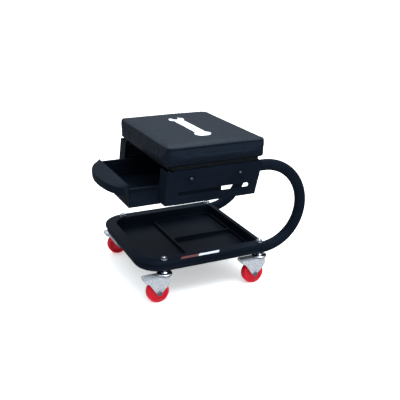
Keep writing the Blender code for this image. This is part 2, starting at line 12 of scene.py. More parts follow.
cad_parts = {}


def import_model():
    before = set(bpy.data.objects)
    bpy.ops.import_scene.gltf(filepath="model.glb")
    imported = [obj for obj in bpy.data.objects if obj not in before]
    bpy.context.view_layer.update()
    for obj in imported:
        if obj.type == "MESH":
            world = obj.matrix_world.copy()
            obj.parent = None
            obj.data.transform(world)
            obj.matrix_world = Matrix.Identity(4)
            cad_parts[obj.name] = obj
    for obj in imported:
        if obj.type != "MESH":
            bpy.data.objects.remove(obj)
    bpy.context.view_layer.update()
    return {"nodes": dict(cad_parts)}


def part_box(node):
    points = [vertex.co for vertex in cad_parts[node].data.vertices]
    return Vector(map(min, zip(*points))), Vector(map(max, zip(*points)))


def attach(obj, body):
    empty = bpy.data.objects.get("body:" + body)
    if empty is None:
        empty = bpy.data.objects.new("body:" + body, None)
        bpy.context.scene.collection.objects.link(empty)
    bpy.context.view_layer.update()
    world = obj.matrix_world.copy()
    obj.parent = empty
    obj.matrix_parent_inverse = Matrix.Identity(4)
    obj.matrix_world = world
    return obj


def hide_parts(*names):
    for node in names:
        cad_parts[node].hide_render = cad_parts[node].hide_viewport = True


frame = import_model()


# ---- places read from the frame --------------------------------------
def middle(node):
    low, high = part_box(node)
    return (low + high) / 2


STEMS = {tag: middle(f"caster_stem_{tag}") for tag in ("left_near", "left_far", "right_near", "right_far")}
MID_X = (STEMS["left_near"].x + STEMS["right_near"].x) / 2
STEM_X = STEMS["right_near"].x - MID_X
RAIL_Y = STEMS["right_far"].y

TUBE_LOW, TUBE_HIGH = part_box("frame_tube")
TUBE_R = 0.015875
TUBE_WALL = 0.002
RAIL_Z = TUBE_LOW.z + TUBE_R
UPPER_Z = TUBE_HIGH.z - TUBE_R
BEND_R = (UPPER_Z - RAIL_Z) / 2
BEND_X = TUBE_HIGH.x - MID_X - TUBE_R - BEND_R
UPPER_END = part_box("tube_plug_near")[1].x - MID_X + 0.0117
END_RAIL_X = TUBE_LOW.x - MID_X + TUBE_R
CORNER_R = 0.060


def row_x(x):
    return x + MID_X


# ---- outlines and bodies ---------------------------------------------
def arc(centre_u, centre_v, radius, start, end, steps):
    """Points on an arc, its angles in degrees."""
    turn = [math.radians(start + (end - start) * i / steps) for i in range(steps + 1)]
    return [(centre_u + radius * math.cos(a), centre_v + radius * math.sin(a)) for a in turn]


def rounded(x, y, radii, steps=8):
    """Rectangle outline with its own radius at each corner, from the low-low one, anticlockwise."""
    r0, r1, r2, r3 = radii
    return (arc(x[0] + r0, y[0] + r0, r0, 180, 270, steps) + arc(x[1] - r1, y[0] + r1, r1, 270, 360, steps)
            + arc(x[1] - r2, y[1] - r2, r2, 0, 90, steps) + arc(x[0] + r3, y[1] - r3, r3, 90, 180, steps))


def inset_box(x, y, radii, inset, steps=8):
    """The rounded rectangle with its sides moved in by inset."""
    kept = [max(r - inset, 0.0004) for r in radii]
    return rounded((x[0] + inset, x[1] - inset), (y[0] + inset, y[1] - inset), kept, steps)


def foot_fillet(z, radius, steps=5):
    """(height, inset) pairs round the lower edge of a body, going up."""
    turn = [math.radians(90 * i / steps) for i in range(steps + 1)]
    return [(z + radius * (1 - math.cos(a)), radius * (1 - math.sin(a))) for a in turn]


def head_fillet(z, radius, way=1, steps=5):
    """(height, inset) pairs round the upper edge, going up; way -1 flares a cutter's mouth out."""
    turn = [math.radians(90 * i / steps) for i in range(steps + 1)]
    return [(z - radius * (1 - math.sin(a)), way * radius * (1 - math.cos(a))) for a in turn]


def filleted(points, radii, steps=5):
    """An open line whose inner corners are rounded, each with its own radius."""
    line = [Vector(points[0])]
    for before, corner, after, radius in zip(points, points[1:], points[2:], radii):
        corner = Vector(corner)
        back, on = (Vector(before) - corner).normalized(), (Vector(after) - corner).normalized()
        half = back.angle(on) / 2
        centre = corner + (back + on).normalized() * radius / math.sin(half)
        start = corner + back * radius / math.tan(half) - centre
        swing = math.copysign(math.pi - 2 * half, back.x * on.y - back.y * on.x)
        line += [centre + turned_by(start, -swing * i / steps) for i in range(steps + 1)]
    return line + [Vector(points[-1])]


def turned_by(spoke, angle):
    return Vector((spoke.x * math.cos(angle) - spoke.y * math.sin(angle),
                   spoke.x * math.sin(angle) + spoke.y * math.cos(angle)))


def as_object(bm, name="helper"):
    bmesh.ops.recalc_face_normals(bm, faces=bm.faces)
    return loose_object(bm, name)


def loose_object(bm, name="helper"):
    mesh = bpy.data.meshes.new(name)
    bm.to_mesh(mesh)
    bm.free()
    made = bpy.data.objects.new(name, mesh)
    bpy.context.scene.collection.objects.link(made)
    return made


def stack(rings):
    """Closed body through rings that have as many points each."""
    bm = bmesh.new()
    loops = [[bm.verts.new(point) for point in ring] for ring in rings]
    for low, high in zip(loops, loops[1:]):
        for i in range(len(low)):
            j = (i + 1) % len(low)
            bm.faces.new((low[i], low[j], high[j], high[i]))
    bm.faces.new(loops[0][::-1])
    bm.faces.new(loops[-1])
    return as_object(bm)


def risen(outline, levels):
    """Closed body whose outline(inset, height) follows (height, inset) pairs upwards."""
    return stack([[(x, y, z) for x, y in outline(inset, z)] for z, inset in levels])


def sheet_of(rows, thickness):
    """Sheet through rows of points, thickened away from its normals."""
    bm = bmesh.new()
    grid = [[bm.verts.new(point) for point in row] for row in rows]
    for row, beyond in zip(grid, grid[1:]):
        for i in range(len(row) - 1):
            bm.faces.new((row[i], row[i + 1], beyond[i + 1], beyond[i]))
    made = loose_object(bm)
    thickened(made, thickness)
    return made


def thickened(made, thickness):
    """The open sheet, thickened to the side away from its normals."""
    shell = made.modifiers.new("Solidify", "SOLIDIFY")
    shell.thickness = thickness
    shell.offset = -1
    shell.use_even_offset = True


def turned(profile, steps=40, axis="Z"):
    """Lathe body: (radius, height) pairs along its outer line, closed on the axis or into a ring."""
    bm = bmesh.new()
    rings = []
    for radius, height in profile:
        if radius < 1e-6:
            rings.append([bm.verts.new((0, 0, height))])
            continue
        turn = [math.tau * i / steps for i in range(steps)]
        rings.append([bm.verts.new((radius * math.cos(a), radius * math.sin(a), height)) for a in turn])
    closed = len(rings[0]) > 1 and len(rings[-1]) > 1
    for a, b in zip(rings, rings[1:] + rings[:1] if closed else rings[1:]):
        for i in range(steps):
            j = (i + 1) % steps
            corners = [a[i % len(a)], a[j % len(a)], b[j % len(b)], b[i % len(b)]]
            bm.faces.new(list(dict.fromkeys(corners)))
    made = as_object(bm)
    if axis == "Y":
        made.data.transform(Matrix.Rotation(math.radians(-90), 4, "X"))
    return made


def prism(outline, low, high, up="z"):
    """A plate from low to high along an axis; outline gives the other two coordinates in their order."""
    slot = "xyz".index(up)
    return stack([[(*point[:slot], level, *point[slot:]) for point in outline] for level in (low, high)])


def rod(radius, start, end, sides=24):
    start, end = Vector(start), Vector(end)
    turn = (end - start).to_track_quat("Z", "Y").to_matrix().to_4x4()
    bm = bmesh.new()
    bmesh.ops.create_cone(bm, segments=sides, radius1=radius, radius2=radius, depth=(end - start).length,
                          cap_ends=True, matrix=Matrix.Translation((start + end) / 2) @ turn)
    return as_object(bm)


def applied(made):
    """The object with its modifiers applied."""
    bpy.context.view_layer.update()
    graph = bpy.context.evaluated_depsgraph_get()
    mesh = bpy.data.meshes.new_from_object(made.evaluated_get(graph))
    made.modifiers.clear()
    made.data = mesh
    return made


def combined(made, joins=(), cuts=(), commons=()):
    """Booleans with these helpers, which are then removed."""
    applied(made)
    for operation, others in (("INTERSECT", commons), ("UNION", joins), ("DIFFERENCE", cuts)):
        for other in others:
            applied(other)
            boolean = made.modifiers.new("Boolean", "BOOLEAN")
            boolean.operation = operation
            boolean.solver = "EXACT"
            boolean.object = other
    applied(made)
    for other in (*joins, *cuts, *commons):
        bpy.data.objects.remove(other, do_unlink=True)
    return made


def softened(made, width, segments=2, angle=35):
    """Small rounds on every edge sharper than the angle."""
    bevel = made.modifiers.new("Bevel", "BEVEL")
    bevel.width = width
    bevel.segments = segments
    bevel.limit_method = "ANGLE"
    bevel.angle_limit = math.radians(angle)
    return applied(made)


def cleaned(made):
    bm = bmesh.new()
    bm.from_mesh(made.data)
    bmesh.ops.remove_doubles(bm, verts=bm.verts, dist=0.000005)
    bmesh.ops.dissolve_limit(bm, angle_limit=math.radians(0.5), verts=bm.verts, edges=bm.edges)
    bm.to_mesh(made.data)
    bm.free()
    return made


def piece(name, made, body, finish, replaced=(), angle=35):
    """Names a finished body, gives it its finish and lets it ride; x is turned into the row frame."""
    made.name = name
    made.data.name = name
    made.data.transform(Matrix.Translation((MID_X, 0, 0)))
    return dressed(made, body, finish, replaced, angle)


def dressed(made, body, finish, replaced=(), angle=35):
    made.data.materials.clear()
    made.data.materials.append(FINISHES[finish])
    made.data.shade_smooth()
    made.data.set_sharp_from_angle(angle=math.radians(angle))
    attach(made, body)
    if replaced:
        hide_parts(*replaced)
    return made


def far_twin(made, name, body, finish, replaced):
    """The far side's mirror image of a near piece that is already in the row frame."""
    mesh = made.data.copy()
    mesh.transform(Matrix.Scale(-1, 4, (0, 1, 0)))
    mesh.flip_normals()
    twin = bpy.data.objects.new(name, mesh)
    mesh.name = name
    bpy.context.scene.collection.objects.link(twin)
    return dressed(twin, body, finish, replaced)


# ---- materials -------------------------------------------------------
class Nodes:
    """Short-hand for one material's node tree."""

    def __init__(self, name):
        self.material = bpy.data.materials.new(name)
        self.material.use_nodes = True
        self.tree = self.material.node_tree
        self.shader = self.tree.nodes["Principled BSDF"]
        self.place = self.tree.nodes.new("ShaderNodeTexCoord").outputs["Object"]

    def link(self, start, end):
        self.tree.links.new(start, end)

    def node(self, kind, **settings):
        made = self.tree.nodes.new(kind)
        for key, value in settings.items():
            setattr(made, key, value)
        return made

    def stretched(self, scale):
        """The place scaled by its own factor along each axis."""
        mapping = self.node("ShaderNodeMapping")
        mapping.inputs["Scale"].default_value = scale
        self.link(self.place, mapping.inputs["Vector"])
        return mapping.outputs["Vector"]

    def noise(self, scale, detail=3.0, roughness=0.5, vector=None):
        made = self.node("ShaderNodeTexNoise")
        made.inputs["Scale"].default_value = scale
        made.inputs["Detail"].default_value = detail
        made.inputs["Roughness"].default_value = roughness
        self.link(vector or self.place, made.inputs["Vector"])
        return made.outputs["Fac"]

    def cells(self, scale, feature="F1"):
        made = self.node("ShaderNodeTexVoronoi", feature=feature)
        made.inputs["Scale"].default_value = scale
        self.link(self.place, made.inputs["Vector"])
        return made.outputs["Distance"]

    def ramp(self, value, low, high, start=0.0, end=1.0):
        made = self.node("ShaderNodeMapRange")
        for socket, number in (("From Min", low), ("From Max", high), ("To Min", start), ("To Max", end)):
            made.inputs[socket].default_value = number
        self.link(value, made.inputs["Value"])
        return made.outputs["Result"]

    def mix(self, factor, first, second):
        made = self.node("ShaderNodeMix", data_type="RGBA")
        self.link(factor, made.inputs["Factor"])
        for name, colour in (("A", first), ("B", second)):
            socket = next(s for s in made.inputs if s.name == name and s.type == "RGBA")
            if isinstance(colour, tuple):
                socket.default_value = (*colour, 1.0)
            else:
                self.link(colour, socket)
        return next(s for s in made.outputs if s.type == "RGBA")

    def bump(self, height, distance, strength=1.0, below=None):
        made = self.node("ShaderNodeBump")
        made.inputs["Distance"].default_value = distance
        made.inputs["Strength"].default_value = strength
        self.link(height, made.inputs["Height"])
        if below is not None:
            self.link(below, made.inputs["Normal"])
        return made.outputs["Normal"]

    def set(self, **values):
        for key, value in values.items():
            self.shader.inputs[key.replace("_", " ")].default_value = value

    def feed(self, colour=None, roughness=None, normal=None):
        for name, value in (("Base Color", colour), ("Roughness", roughness), ("Normal", normal)):
            if value is not None:
                self.link(value, self.shader.inputs[name])


BLUE_TINT = (0.46, 0.70, 1.0, 1.0)


def powder_coat():
    n = Nodes("black_powder_coat")
    dust = n.noise(9.0, 4.0, 0.6)
    fine = n.noise(420.0, 4.0, 0.6)
    colour = n.mix(n.ramp(dust, 0.35, 0.75), (0.0030, 0.0046, 0.0082), (0.0052, 0.0076, 0.0125))
    peel = n.bump(n.noise(330.0, 2.0), 0.00012, 0.5)
    n.feed(colour, n.ramp(fine, 0.2, 0.8, 0.30, 0.44), n.bump(fine, 0.00006, 0.5, peel))
    n.set(Specular_IOR_Level=0.035, Specular_Tint=BLUE_TINT)
    return n.material


def vinyl():
    n = Nodes("seat_vinyl")
    broad = n.noise(14.0, 3.0, 0.55)
    grain_and_hollow_shade = n.cells(620.0, "F1")
    pores = n.cells(950.0, "DISTANCE_TO_EDGE")
    colour = n.mix(n.ramp(broad, 0.3, 0.75), (0.0066, 0.0094, 0.0155), (0.0100, 0.0138, 0.0215))
    # Painted shade: the pebble grain's cell edges, the low hollows of the relief below, are painted darker.
    colour = n.mix(n.ramp(grain_and_hollow_shade, 0.05, 0.55), colour, (0.0038, 0.0054, 0.0088))
    wrinkle = n.bump(n.noise(60.0, 5.0, 0.6), 0.00045, 0.35)
    pebble = n.bump(n.ramp(grain_and_hollow_shade, 0.0, 0.7, 1.0, 0.0), 0.00016, 0.55, wrinkle)
    relief = n.bump(n.ramp(pores, 0.0, 0.15), 0.00005, 0.4, pebble)
    n.feed(colour, n.ramp(broad, 0.25, 0.8, 0.36, 0.48), relief)
    n.set(Specular_IOR_Level=0.12, Specular_Tint=BLUE_TINT)
    return n.material


def red_tyre():
    n = Nodes("wheel_red")
    cloud = n.noise(45.0, 3.0)
    scuff = n.noise(700.0, 3.0, 0.7)
    colour = n.mix(n.ramp(cloud, 0.3, 0.7), (0.46, 0.0015, 0.010), (0.58, 0.003, 0.019))
    colour = n.mix(n.ramp(scuff, 0.70, 0.86), colour, (0.34, 0.006, 0.012))
    n.feed(colour, n.ramp(scuff, 0.3, 0.7, 0.22, 0.36), n.bump(cloud, 0.00020, 0.3))
    n.set(Specular_IOR_Level=0.28)
    return n.material


def zinc(name, colour, low, high, tone=0.75, metal=1.0):
    """Bright zinc: fine rolled lines, faint spangle and duller patches."""
    n = Nodes(name)
    lines = n.noise(160.0, 3.0, 0.6, n.stretched((1.0, 8.0, 1.0)))
    spangle = n.cells(260.0)
    dull = tuple(c * tone for c in colour)
    mixed = n.mix(n.ramp(spangle, 0.1, 0.8), colour, dull)
    n.feed(mixed, n.ramp(lines, 0.25, 0.75, low, high), n.bump(lines, 0.00003, 0.35))
    n.set(Metallic=metal)
    return n.material


def black_steel():
    n = Nodes("runner_steel")
    patches = n.noise(35.0, 4.0, 0.6)
    lines = n.noise(150.0, 3.0, 0.6, n.stretched((0.2, 6.0, 6.0)))
    colour = n.mix(n.ramp(patches, 0.35, 0.7), (0.006, 0.008, 0.012), (0.014, 0.016, 0.020))
    n.feed(colour, n.ramp(lines, 0.3, 0.7, 0.35, 0.52), n.bump(lines, 0.00004, 0.3))
    n.set(Specular_IOR_Level=0.10, Specular_Tint=BLUE_TINT)
    return n.material


def moulded(name, dark, light, low, high):
    """Moulded rubber or plastic: fine erosion texture with faint clouds."""
    n = Nodes(name)
    colour = n.mix(n.ramp(n.noise(50.0, 3.0), 0.35, 0.7), dark, light)
    fine = n.noise(1500.0, 2.0)
    n.feed(colour, n.ramp(fine, 0.3, 0.7, low, high), n.bump(fine, 0.00005, 0.4))
    n.set(Specular_IOR_Level=0.3)
    return n.material


def painted_wood():
    n = Nodes("seat_board")
    fibres = n.noise(130.0, 5.0, 0.65, n.stretched((0.12, 1.0, 1.0)))
    colour = n.mix(n.ramp(fibres, 0.35, 0.7), (0.0050, 0.0052, 0.0060), (0.0115, 0.0115, 0.0125))
    n.feed(colour, n.ramp(fibres, 0.3, 0.7, 0.62, 0.82), n.bump(fibres, 0.00020, 0.5))
    n.set(Specular_IOR_Level=0.12)
    return n.material


def printed(name, colour, faded):
    """Screen-printed ink, thinner here and there."""
    n = Nodes(name)
    thin = n.noise(240.0, 5.0, 0.7)
    mixed = n.mix(n.ramp(thin, 0.62, 0.80), colour, faded)
    n.feed(mixed, n.ramp(thin, 0.3, 0.8, 0.45, 0.60), n.bump(thin, 0.00003, 0.4))
    return n.material


def floor_finish():
    n = Nodes("studio_floor")
    colour = n.mix(n.noise(3.0, 2.0), (0.95, 0.90, 0.84), (0.97, 0.92, 0.86))
    n.feed(colour)
    n.set(Roughness=0.9, Specular_IOR_Level=0.0, Emission_Color=(1.0, 1.0, 1.0, 1.0), Emission_Strength=0.42)
    return n.material


FINISHES = {
    "coat": powder_coat(),
    "vinyl": vinyl(),
    "red": red_tyre(),
    "zinc": zinc("caster_zinc", (0.72, 0.72, 0.75), 0.24, 0.44, 0.66, 0.45),
    "chrome": zinc("race_chrome", (0.80, 0.81, 0.83), 0.06, 0.18),
    "fastener": zinc("fastener_zinc", (0.52, 0.53, 0.56), 0.26, 0.42),
    "dark_bolt": zinc("blackened_zinc", (0.060, 0.065, 0.075), 0.24, 0.40),
    "runner": black_steel(),
    "rubber": moulded("stop_rubber", (0.010, 0.010, 0.011), (0.022, 0.022, 0.023), 0.70, 0.90),
    "plug": moulded("plug_plastic", (0.010, 0.010, 0.012), (0.024, 0.024, 0.027), 0.45, 0.62),
    "board": painted_wood(),
    "white_ink": printed("white_ink", (0.86, 0.86, 0.87), (0.45, 0.46, 0.49)),
    "rust_ink": printed("rust_ink", (0.17, 0.050, 0.040), (0.26, 0.11, 0.095)),
    "thread": moulded("black_thread", (0.006, 0.008, 0.012), (0.020, 0.024, 0.032), 0.55, 0.75),
}


# ---- frame tube ------------------------------------------------------
def tube_route():
    """Centre line with its directions: near upper run, return bend, base with two corners, the far side."""
    bend = arc(BEND_X, RAIL_Z + BEND_R, BEND_R, 90, -90, 56)
    corner = arc(END_RAIL_X + CORNER_R, -RAIL_Y + CORNER_R, CORNER_R, 270, 180, 22)
    near = [(UPPER_END, -RAIL_Y, UPPER_Z)] + [(x, -RAIL_Y, z) for x, z in bend]
    near += [(x, y, RAIL_Z) for x, y in corner]
    return near + [(x, -y, z) for x, y, z in reversed(near)]


def frame_tube():
    """One smooth tube, bored a little way in from both open ends, where the plugs sit."""
    sides, bore_depth = 40, 0.016
    route = [Vector(point) for point in tube_route()]
    rings = []
    side_way = Vector((0, 1, 0))
    stations = []
    for i, point in enumerate(route):
        ahead = (route[min(i + 1, len(route) - 1)] - route[max(i - 1, 0)]).normalized()
        side_way = (side_way - side_way.dot(ahead) * ahead).normalized()
        stations.append((point, side_way.copy(), ahead.cross(side_way)))

    def ring(station, radius, shift=0.0):
        point, u, v = station
        turn = [math.tau * k / sides for k in range(sides)]
        return [point + Vector((shift, 0, 0)) + radius * (math.cos(a) * u + math.sin(a) * v) for a in turn]

    bore = TUBE_R - TUBE_WALL
    for end in (0, -1):
        lip = [ring(stations[end], bore, bore_depth), ring(stations[end], bore),
               ring(stations[end], TUBE_R - 0.0004), ring(stations[end], TUBE_R, 0.0004)]
        rings = lip if end == 0 else rings + lip[::-1]
        if end == 0:
            rings += [ring(station, TUBE_R) for station in stations[1:-1]]
    piece("frame_tube_smooth", stack(rings), "frame", "coat", ["frame_tube"])


# ---- tray ------------------------------------------------------------
FLANGE_LOW, FLANGE_TOP, FLANGE_SKIRT = 0.1198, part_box("tray")[1].z, 0.1125
FLANGE_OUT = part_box("tray")[1].y - RAIL_Y
TRAY_LOW, TRAY_SHEET, TRAY_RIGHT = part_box("tray")[0].z, 0.0014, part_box("tray")[1].x - MID_X
RIDGE_TOP, RIDGE_HALF, RIDGE_X = 0.098, 0.0055, -0.052
PAN_FOOT, PAN_HEAD = (-0.0196, 0.140), (-0.0136, 0.147)      # reach and right end at its foot and head


def tray_outline(reach, right, right_r):
    """Outline at a distance outside the base's centre line, squared off at its right end."""
    r = CORNER_R + reach
    return rounded((END_RAIL_X - reach, right), (-RAIL_Y - reach, RAIL_Y + reach),
                   (r, right_r, right_r, r), 18)


def pan_outline(inset, z):
    """The pan's outer wall, which leans out as it rises."""
    rise = (z - TRAY_LOW) / (FLANGE_LOW + 0.0004 - TRAY_LOW)
    reach, right = [foot + (head - foot) * rise for foot, head in zip(PAN_FOOT, PAN_HEAD)]
    return tray_outline(reach - inset, right - inset, max(0.012 - inset, 0.004))


def well_cutter(x, y, radii):
    """One well's hollow, with a rounded foot and a mouth that rolls over the ridges."""
    floor, slope = TRAY_LOW + TRAY_SHEET, 0.16

    def outline(inset, z):
        return inset_box(x, y, radii, inset - slope * (z - floor), 10)

    levels = foot_fillet(floor, 0.003) + head_fillet(RIDGE_TOP, 0.0024, -1) + [(RIDGE_TOP + 0.001, -0.0024)]
    return risen(outline, levels)


def ridge_groove(centre, low, high, along):
    """Cutter for the hollow under a ridge, so that it is a fold of the sheet."""
    foot, head = RIDGE_HALF - TRAY_SHEET, RIDGE_HALF - 0.0034
    under, top = TRAY_LOW - 0.002, RIDGE_TOP - TRAY_SHEET - 0.0004
    section = [(centre - foot, under), (centre + foot, under), (centre + head, top), (centre - head, top)]
    return prism(section, low, high, along)


def tray():
    def flange_outline(inset, _):
        return tray_outline(FLANGE_OUT - inset, TRAY_RIGHT, max(0.006 - inset, 0.002))

    def under_outline(inset, _):
        return tray_outline(FLANGE_OUT - 0.0016 - inset, TRAY_RIGHT + 0.004, 0.002)

    skirt = [(FLANGE_SKIRT, 0.0004), (FLANGE_SKIRT + 0.0004, 0)]
    lid = risen(flange_outline, skirt + head_fillet(FLANGE_TOP, 0.0028))
    under = risen(under_outline, [(0.100, 0)] + head_fillet(FLANGE_LOW, 0.0014))
    pan = risen(pan_outline, foot_fillet(TRAY_LOW, 0.0045) + [(FLANGE_LOW + 0.0004, 0)])
    wall = 0.0013
    mouth = risen(lambda inset, z: pan_outline(inset + wall, min(z, FLANGE_TOP)),
                  [(RIDGE_TOP, 0)] + head_fillet(FLANGE_TOP, 0.0026, -1, 7) + [(FLANGE_TOP + 0.002, -0.0026)])
    left, right = (-0.1755, RIDGE_X - RIDGE_HALF), (RIDGE_X + RIDGE_HALF, 0.1365)
    wells = [well_cutter(left, (-0.1575, 0.1575), (0.039, 0.008, 0.008, 0.039)),
             well_cutter(right, (-0.1575, -RIDGE_HALF), (0.008, 0.011, 0.008, 0.008)),
             well_cutter(right, (RIDGE_HALF, 0.1575), (0.008, 0.008, 0.011, 0.008))]
    grooves = [ridge_groove(RIDGE_X, -0.152, 0.152, "y"), ridge_groove(0.0, RIDGE_X, 0.132, "x")]
    holes = [rod(0.0053, (x, y, 0.10), (x, y, 0.13)) for x in (-STEM_X, STEM_X) for y in (-RAIL_Y, RAIL_Y)]
    lid = combined(lid, cuts=[under])
    made = combined(lid, joins=[pan], cuts=[mouth] + wells + grooves + holes)
    piece("tray_pressed", made, "frame", "coat", ["tray"], 28)


def tray_label():
    """Slanted two-tone label on the near flange: a rust-brown part and a white one, with no lettering."""
    low, high, top = -0.1978, -0.1850, FLANGE_TOP
    left, split, right, slant = -0.097, -0.044, 0.018, 0.009
    for name, start, end, finish in (("tray_label_brown", left, split - 0.0006, "rust_ink"),
                                     ("tray_label_white", split, right, "white_ink")):
        bm = bmesh.new()
        corners = [(start - slant, low), (end - slant, low), (end, high), (start, high)]
        under = [bm.verts.new((x, y, top + 0.00002)) for x, y in corners]
        over = [bm.verts.new((x, y, top + 0.00022)) for x, y in corners]
        bm.faces.new(under[::-1])
        bm.faces.new(over)
        for i in range(4):
            bm.faces.new((under[i], under[(i + 1) % 4], over[(i + 1) % 4], over[i]))
        piece(name, as_object(bm), "frame", finish)


# ---- side panels -----------------------------------------------------
PANEL_Y, PANEL_LOW, PANEL_TOP = 0.200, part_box("side_panel_near")[0].z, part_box("side_panel_near")[1].z
PANEL_REAR, PANEL_LEAN, PANEL_FRONT, PANEL_FLARE, RETURN_Y = 0.1155, 0.0228, -0.138, 0.011, 0.1455
SHEET = 0.0016
SIDE_BOLTS, SIDE_BOLT_Z = (-0.073, 0.070), 0.343
SLOT, SLOT_R = ((-0.112, 0.0945), (0.3029, 0.3136)), 0.0053


def panel_line(z, bend_steps):
    """The near panel's outer line at a height: turned-in front, bead, long web and rear return."""
    height = (z - PANEL_LOW) / (PANEL_TOP - PANEL_LOW)
    front = PANEL_FRONT - PANEL_FLARE * (1 - height)
    rear = PANEL_REAR + PANEL_LEAN * height
    points = [(front, -RETURN_Y), (front, -PANEL_Y + 0.0035), (-0.1315, -PANEL_Y + 0.0004),
              (-0.1258, -PANEL_Y + 0.0016), (-0.1200, -PANEL_Y), (rear, -PANEL_Y), (rear, -PANEL_Y + 0.0034)]
    return [(x, y, z) for x, y in filleted(points, (0.0022, 0.0012, 0.0016, 0.0012, 0.0016), bend_steps)]


def side_panels():
    """Both panels: a folded web whose head rolls over into the ledge that lies on the tube."""
    fold_r, bend_steps = 0.0024, 4
    web_top = PANEL_TOP - fold_r
    first = 4 * (bend_steps + 1)       # the web's long face runs between these two points of the line
    last = first + 1
    lines = [panel_line(PANEL_LOW + (web_top - PANEL_LOW) * i / 6, bend_steps) for i in range(7)]
    bm = bmesh.new()
    grid = [[bm.verts.new(point) for point in line] for line in lines]
    for row, beyond in zip(grid, grid[1:]):
        for i in range(len(row) - 1):
            bm.faces.new((row[i], row[i + 1], beyond[i + 1], beyond[i]))
    shoulder = grid[-1]
    head = [bm.verts.new(point) for point in panel_line(PANEL_TOP, bend_steps)]
    for i in range(len(shoulder) - 1):
        if i != first:
            bm.faces.new((shoulder[i], shoulder[i + 1], head[i + 1], head[i]))
    strip = shoulder[first:last + 1]
    for angle in range(15, 91, 15):
        back, rise = fold_r * (1 - math.cos(math.radians(angle))), fold_r * math.sin(math.radians(angle))
        row = [bm.verts.new((v.co.x, v.co.y + back, web_top + rise)) for v in shoulder[first:last + 1]]
        bm.faces.new((strip[0], strip[1], row[1], row[0]))
        strip = row
    ledge = [bm.verts.new((v.co.x, -0.166, PANEL_TOP)) for v in strip]
    bm.faces.new((strip[0], strip[1], ledge[1], ledge[0]))
    made = loose_object(bm)
    thickened(made, SHEET)
    slot = prism(rounded(*SLOT, (SLOT_R,) * 4, 10), -0.21, -0.19, "y")
    holes = [rod(0.0034, (x, -0.21, SIDE_BOLT_Z), (x, -0.19, SIDE_BOLT_Z)) for x in SIDE_BOLTS]
    made = softened(combined(made, cuts=[slot] + holes), 0.00035, 2, 50)
    near = piece("side_panel_folded_near", made, "frame", "coat", ["side_panel_near"], 30)
    far_twin(near, "side_panel_folded_far", "frame", "coat", ["side_panel_far"])


# ---- drawer ----------------------------------------------------------
DRAWER_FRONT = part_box("drawer_front")[1].x - MID_X - SHEET
DRAWER_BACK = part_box("drawer_box")[1].x - MID_X
DRAWER_HALF, DRAWER_SHEET, RIM_REACH = 0.137, 0.0014, 0.007
DRAWER_LOW, DRAWER_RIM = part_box("drawer_box")[0].z, 0.320
FRONT_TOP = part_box("drawer_front")[1].z
PULL_OUT, PULL_HALF, LIP_TOP, LIP_LOW = 0.049, 0.134, 0.3205, 0.3005


def drawer_box():
    front = DRAWER_FRONT + SHEET + 0.0003
    length, width = (front, DRAWER_BACK), (-DRAWER_HALF, DRAWER_HALF)
    bead = 0.0008

    def body_outline(inset, _):
        return inset_box(length, width, (0.0015, 0.004, 0.004, 0.0015), inset, 6)

    outer = foot_fillet(DRAWER_LOW, 0.0025) + [(0.2735, 0), (0.2745, bead), (0.2770, bead), (0.2780, 0)]
    outer += [(0.3075, 0), (0.3083, bead), (0.3103, bead), (0.3111, 0), (DRAWER_RIM - 0.0006, 0)]
    body = risen(body_outline, outer)
    reach = DRAWER_HALF + RIM_REACH
    rim_low = DRAWER_RIM - DRAWER_SHEET
    rim = risen(lambda inset, _: inset_box(length, (-reach, reach), (0.003,) * 4, inset, 6),
                foot_fillet(rim_low, 0.0005, 2) + head_fillet(DRAWER_RIM, 0.0005, 1, 2))
    tabs = [prism(rounded((DRAWER_BACK - 0.006, DRAWER_BACK - 0.001), sorted((side * 0.139, side * 0.1435)),
                          (0.0004,) * 4, 2), DRAWER_RIM - 0.0005, DRAWER_RIM + 0.0028) for side in (-1, 1)]
    inside_x = (length[0] + DRAWER_SHEET, length[1] - DRAWER_SHEET)
    inside_y = (width[0] + DRAWER_SHEET, width[1] - DRAWER_SHEET)

    def inside_outline(inset, _):
        return inset_box(inside_x, inside_y, (0.0015, 0.003, 0.003, 0.0015), inset, 6)

    inner = foot_fillet(DRAWER_LOW + DRAWER_SHEET, 0.002)
    inner += [(0.2733, 0), (0.2743, bead), (0.2772, bead), (0.2782, 0), (0.3073, 0), (0.3081, bead),
              (0.3105, bead), (0.3113, 0)]
    mouth = head_fillet(DRAWER_RIM, 0.0011, -1, 4) + [(DRAWER_RIM + 0.004, -0.0011)]
    inside = risen(inside_outline, inner + mouth)
    hole = rod(0.0018, (front + 0.011, -0.15, 0.2705), (front + 0.011, -0.12, 0.2705), 20)
    made = combined(body, joins=[rim] + tabs, cuts=[inside, hole])
    piece("drawer_tub", made, "drawer", "coat", ["drawer_box"], 30)


def pull_section(y):
    """The pull's outer line in the xz plane: out from the front's top edge, then a hanging lip."""
    bow = (1 - (y / 0.1375) ** 2) ** 0.6
    lip = DRAWER_FRONT - 0.0025 - (PULL_OUT - 0.0025) * bow
    line = [(DRAWER_FRONT + 0.0006, FRONT_TOP - 0.0001),
            (DRAWER_FRONT - 0.003 * bow - 0.0008, FRONT_TOP - 0.0009),
            (lip + 0.0030 * bow, LIP_TOP + 0.0006), (lip, LIP_TOP - 0.0045), (lip + 0.0010 * bow, LIP_LOW)]
    size = 0.0002 + 0.0030 * bow
    return [(x, y, z) for x, z in filleted(line, (min(size, 0.0018), size, size * 0.6), 5)]


def drawer_front():
    thick, wide = (DRAWER_FRONT, DRAWER_FRONT + SHEET), (-DRAWER_HALF, DRAWER_HALF)
    plate = prism(rounded(thick, wide, (0.0003,) * 4, 2), DRAWER_LOW - 0.0005, FRONT_TOP)
    stations = [PULL_HALF * math.sin(math.radians(2.5 * i)) for i in range(36, -37, -1)]
    bow = sheet_of([pull_section(y) for y in stations], SHEET)
    made = softened(combined(plate, joins=[bow]), 0.0003, 2, 60)
    piece("drawer_front_bowed", made, "drawer", "coat", ["drawer_front"], 32)


